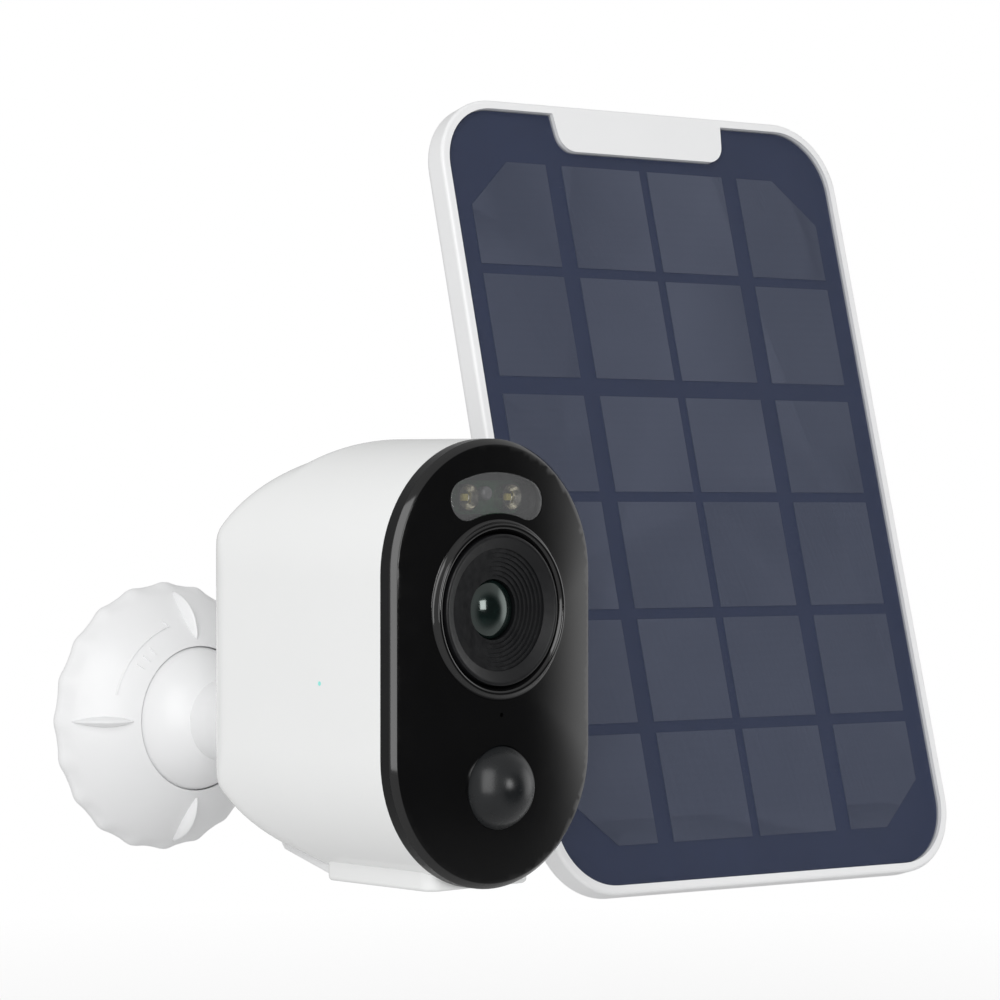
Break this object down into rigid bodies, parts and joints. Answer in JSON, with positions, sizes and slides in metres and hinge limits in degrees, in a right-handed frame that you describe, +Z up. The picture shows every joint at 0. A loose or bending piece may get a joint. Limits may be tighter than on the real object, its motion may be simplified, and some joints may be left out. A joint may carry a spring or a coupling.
{
  "type": "solar-powered security camera",
  "caption": "Battery security camera head on a wall ball bracket, with a tilted solar panel on a bracket of its own beside it.",
  "frame": {"origin": "centre of the camera's wall plate, on its back face", "axes": "+Y into the wall, along the bracket's axis; +X to the right seen from the front; +Z up"},
  "size_m": [0.2167, 0.1288, 0.186],
  "materials": {
    "shell_white": "gloss moulded, warm white",
    "bracket_white": "satin moulded, cool white",
    "soft_white": "matt silicone",
    "face_black": "high gloss black",
    "carrier_black": "satin black",
    "lens_black": "fine satin black, stepped",
    "lens_glass": "coated glass, green and blue bloom",
    "lamp_clear": "smoked clear plastic",
    "reflector": "bright metallised",
    "lamp_yellow": "phosphor yellow",
    "sensor_clear": "clear resin",
    "dome_dark": "smooth dark polyethylene",
    "seal_dark": "soft dark rubber",
    "board_green": "solder mask",
    "metal_can": "tinned steel",
    "steel": "zinc plated",
    "brass": "turned brass",
    "cell_wrap": "blue shrink sleeve over steel",
    "holder_grey": "moulded grey",
    "status_cyan": "light pipe",
    "backsheet_navy": "dark blue laminate",
    "silicon": "textured mono cells",
    "film_clear": "embossed clear film"
  },
  "bodies": {
    "root": {"camera_wall_plate": "bracket_white", "panel_wall_plate": "bracket_white"},
    "camera_ring": {"camera_clamp_ring": "bracket_white"},
    "camera_liner": {"camera_ball_liner": "holder_grey"},
    "camera_neck": {"camera_ball": "bracket_white", "camera_stud": "steel", "camera_washer": "seal_dark"},
    "head": {"face_plate": "face_black", "face_carrier": "carrier_black", "face_seal": "seal_dark", "lamp_window": "lamp_clear", "lamp_reflectors": "reflector", "lamp_chips": "lamp_yellow", "light_sensor": "sensor_clear", "lamp_board": "board_green", "microphone": "metal_can", "lens_rim": "face_black", "lens_barrel": "lens_black", "front_lens": "lens_glass", "inner_lens": "lens_glass", "image_sensor": "holder_grey", "sensor_board": "board_green", "motion_dome": "dome_dark", "motion_sensor": "metal_can", "rear_shell": "shell_white", "status_light": "status_cyan", "rear_insert": "brass", "speaker": "holder_grey", "port_strap": "soft_white", "port_board": "board_green", "card_socket": "metal_can", "charging_socket": "metal_can", "reset_switch": "holder_grey", "power_switch": "holder_grey", "main_board": "board_green", "shield_can": "metal_can", "board_screws": "steel", "battery_cells": "cell_wrap", "battery_holder": "holder_grey", "antenna": "board_green"},
    "port_flap": {"port_cover": "soft_white"},
    "reset_key": {"reset_button": "carrier_black"},
    "power_key": {"power_slider": "carrier_black"},
    "card": {"memory_card": "carrier_black"},
    "panel_ring": {"panel_clamp_ring": "bracket_white"},
    "panel_liner": {"panel_ball_liner": "holder_grey"},
    "panel_neck": {"panel_ball": "bracket_white", "panel_stud": "steel", "panel_washer": "seal_dark"},
    "panel": {"panel_frame": "bracket_white", "panel_backsheet": "backsheet_navy", "solar_cells": "silicon", "panel_film": "film_clear", "panel_back": "bracket_white", "panel_insert": "brass", "panel_screws": "steel", "junction_box": "bracket_white", "cable_gland": "seal_dark"}
  },
  "joints": [
    {"name": "camera_ring_turn", "type": "hinge", "parent": "root", "child": "camera_ring", "pos_m": [0, 0, 0], "axis": [0, 1, 0], "range_deg": [0, 45]},
    {"name": "camera_pan", "type": "hinge", "parent": "root", "child": "camera_liner", "pos_m": [0, -0.0167, 0], "axis": [0, 0, 1], "range_deg": [-25, 15]},
    {"name": "camera_tilt", "type": "hinge", "parent": "camera_liner", "child": "camera_neck", "pos_m": [0, -0.0167, 0], "axis": [1, 0, 0], "range_deg": [-25, 25]},
    {"name": "camera_level", "type": "hinge", "parent": "camera_neck", "child": "head", "pos_m": [0, -0.05, 0], "axis": [0, 1, 0], "range_deg": [-10, 10]},
    {"name": "port_cover_open", "type": "hinge", "parent": "head", "child": "port_flap", "pos_m": [0, -0.0908, -0.0305], "axis": [1, 0, 0], "range_deg": [0, 100]},
    {"name": "reset_press", "type": "slide", "parent": "head", "child": "reset_key", "axis": [0, 0, 1], "range_m": [0, 0.0004], "stiffness_N_per_m": 400},
    {"name": "power_slide", "type": "slide", "parent": "head", "child": "power_key", "axis": [1, 0, 0], "range_m": [0, 0.002]},
    {"name": "card_press", "type": "slide", "parent": "head", "child": "card", "axis": [0, 0, 1], "range_m": [0, 0.0008], "stiffness_N_per_m": 400},
    {"name": "panel_ring_turn", "type": "hinge", "parent": "root", "child": "panel_ring", "pos_m": [0.1253, 0, 0.0387], "axis": [0, 1, 0], "range_deg": [0, 45]},
    {"name": "panel_pan", "type": "hinge", "parent": "root", "child": "panel_liner", "pos_m": [0.1253, -0.0167, 0.0387], "axis": [0, 0, 1], "range_deg": [-15, 20]},
    {"name": "panel_tilt", "type": "hinge", "parent": "panel_liner", "child": "panel_neck", "pos_m": [0.1253, -0.0167, 0.0387], "axis": [0.9963, -0.0854, 0], "range_deg": [-10, 35]},
    {"name": "panel_level", "type": "hinge", "parent": "panel_neck", "child": "panel", "pos_m": [0.12283, -0.04555, 0.04657], "axis": [0.0824, 0.9615, -0.2622], "range_deg": [-8, 8]}
  ]
}
